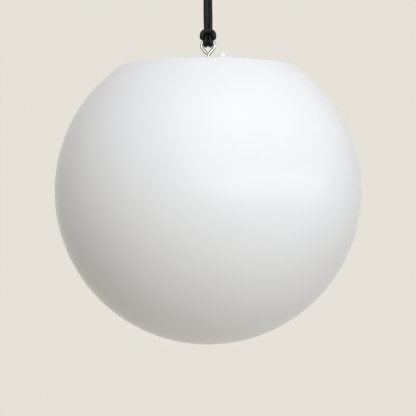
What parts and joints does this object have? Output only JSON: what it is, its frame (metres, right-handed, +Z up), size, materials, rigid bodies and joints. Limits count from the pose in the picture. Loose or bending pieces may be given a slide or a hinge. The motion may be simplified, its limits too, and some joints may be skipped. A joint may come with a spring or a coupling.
{
  "type": "outdoor pendant light",
  "caption": "Opal globe pendant light that hangs by a bent-wire eye from a doubled black cord on a ceiling hook, with a push switch and a hinged charging flap on its flat top.",
  "frame": {"origin": "on the ceiling, at the middle of the hook screw, where it leaves the collar", "axes": "+Z up along the hook screw, front towards -Y as in the picture, wire eye in the XZ plane"},
  "size_m": [0.3, 0.3, 0.4313],
  "materials": {
    "opal_globe": "semi-gloss opal, rotationally moulded",
    "white_cover": "fine satin",
    "white_switch": "smooth",
    "polished_stainless": "polished stainless wire",
    "screw_steel": "bright zinc",
    "hook_steel": "satin stainless",
    "black_cord": "tight braid, slight sheen",
    "black_rubber": "matte",
    "brass_inserts": "turned",
    "inner_plastic": "moulded",
    "circuit_board": "solder mask",
    "dark_components": "moulded",
    "cell_case": "shrink sleeve over a metal can",
    "nickel": "plated strip",
    "lead_sleeve": "soft sleeve",
    "light_board": "white mask on metal",
    "light_chips": "phosphor",
    "frosted_lens": "frosted"
  },
  "bodies": {
    "hook": {"ceiling_hook": "hook_steel"},
    "cord": {"cord_strands": "black_cord", "cord_hitch": "black_cord"},
    "lamp": {"globe": "opal_globe", "screw_inserts": "brass_inserts", "cover_gasket": "black_rubber", "cover_plate": "white_cover", "cover_screws": "screw_steel", "eye_bolt": "polished_stainless", "eye_seal": "black_rubber", "eye_washer": "polished_stainless", "eye_nut": "polished_stainless", "backing_plate": "screw_steel", "lock_nut": "screw_steel", "switch_seal": "black_rubber", "switch_body": "white_switch", "switch_nut": "screw_steel", "port_board": "circuit_board", "port_screws": "screw_steel", "charge_socket": "nickel", "hinge_pin": "screw_steel", "housing": "inner_plastic", "housing_screws": "screw_steel", "cell_tray": "inner_plastic", "cells": "cell_case", "cell_tabs": "nickel", "control_board": "circuit_board", "board_screws": "screw_steel", "board_parts": "dark_components", "battery_leads": "lead_sleeve", "switch_lead": "lead_sleeve", "port_lead": "lead_sleeve", "led_lead": "lead_sleeve", "led_board": "light_board", "led_screws": "screw_steel", "leds": "light_chips", "lens": "frosted_lens"},
    "button": {"button": "white_switch"},
    "charge_flap": {"charge_flap": "white_cover"}
  },
  "joints": [
    {"name": "cord_swing", "type": "hinge", "parent": "hook", "child": "cord", "pos_m": [0, 0, -0.03656], "axis": [0.866, -0.5, 0], "range_deg": [-30, 30]},
    {"name": "lamp_tilt", "type": "hinge", "parent": "cord", "child": "lamp", "pos_m": [0, 0, -0.10656], "axis": [1, 0, 0], "range_deg": [-40, 40]},
    {"name": "button_press", "type": "slide", "parent": "lamp", "child": "button", "axis": [0, 0, -1], "range_m": [0, 0.002], "stiffness_N_per_m": 600, "springref_m": -0.001},
    {"name": "charge_flap_open", "type": "hinge", "parent": "lamp", "child": "charge_flap", "pos_m": [-0.03543, 0, -0.12817], "axis": [0, -1, 0], "range_deg": [0, 120]}
  ]
}
